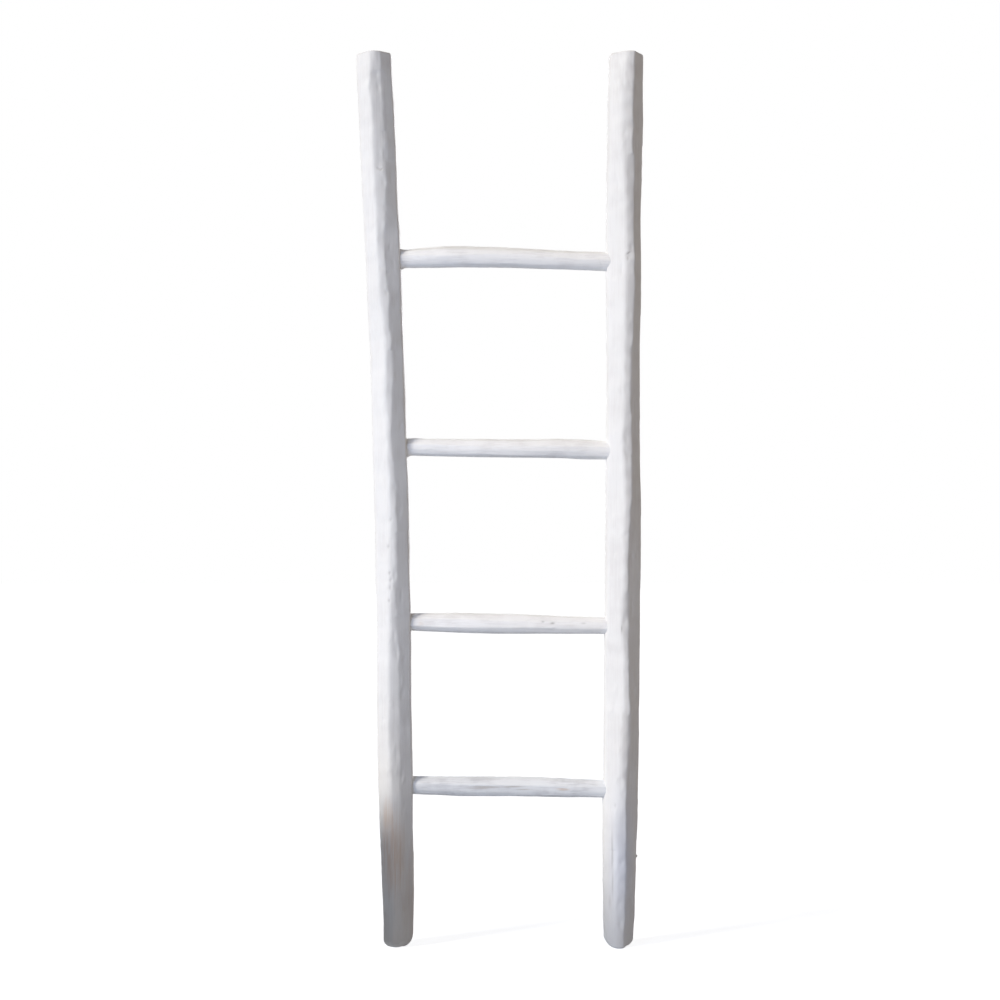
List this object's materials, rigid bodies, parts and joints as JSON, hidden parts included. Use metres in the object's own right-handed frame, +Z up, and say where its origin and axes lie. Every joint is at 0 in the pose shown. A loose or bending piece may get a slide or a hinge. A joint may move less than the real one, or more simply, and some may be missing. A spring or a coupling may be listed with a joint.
{
  "type": "decorative ladder",
  "caption": "Upright rustic wooden ladder in white paint: two hewn, slightly bowed rails joined by round rungs, for hanging towels and blankets.",
  "frame": {"origin": "on the floor, under the middle of the ladder", "axes": "+X to the right seen from the front, +Y from front to back, +Z up"},
  "size_m": [0.4843, 0.0558, 1.5],
  "materials": {
    "rail_paint": "brushed matt white paint",
    "rung_paint": "brushed matt white paint",
    "nail_steel": "square nail, painted over at the head"
  },
  "bodies": {
    "root": {"left_rail": "rail_paint", "right_rail": "rail_paint", "rung_1": "rung_paint", "rung_2": "rung_paint", "rung_3": "rung_paint", "rung_4": "rung_paint", "nail_1_left": "nail_steel", "nail_1_right": "nail_steel", "nail_2_left": "nail_steel", "nail_2_right": "nail_steel", "nail_3_left": "nail_steel", "nail_3_right": "nail_steel", "nail_4_left": "nail_steel", "nail_4_right": "nail_steel"}
  },
  "joints": []
}
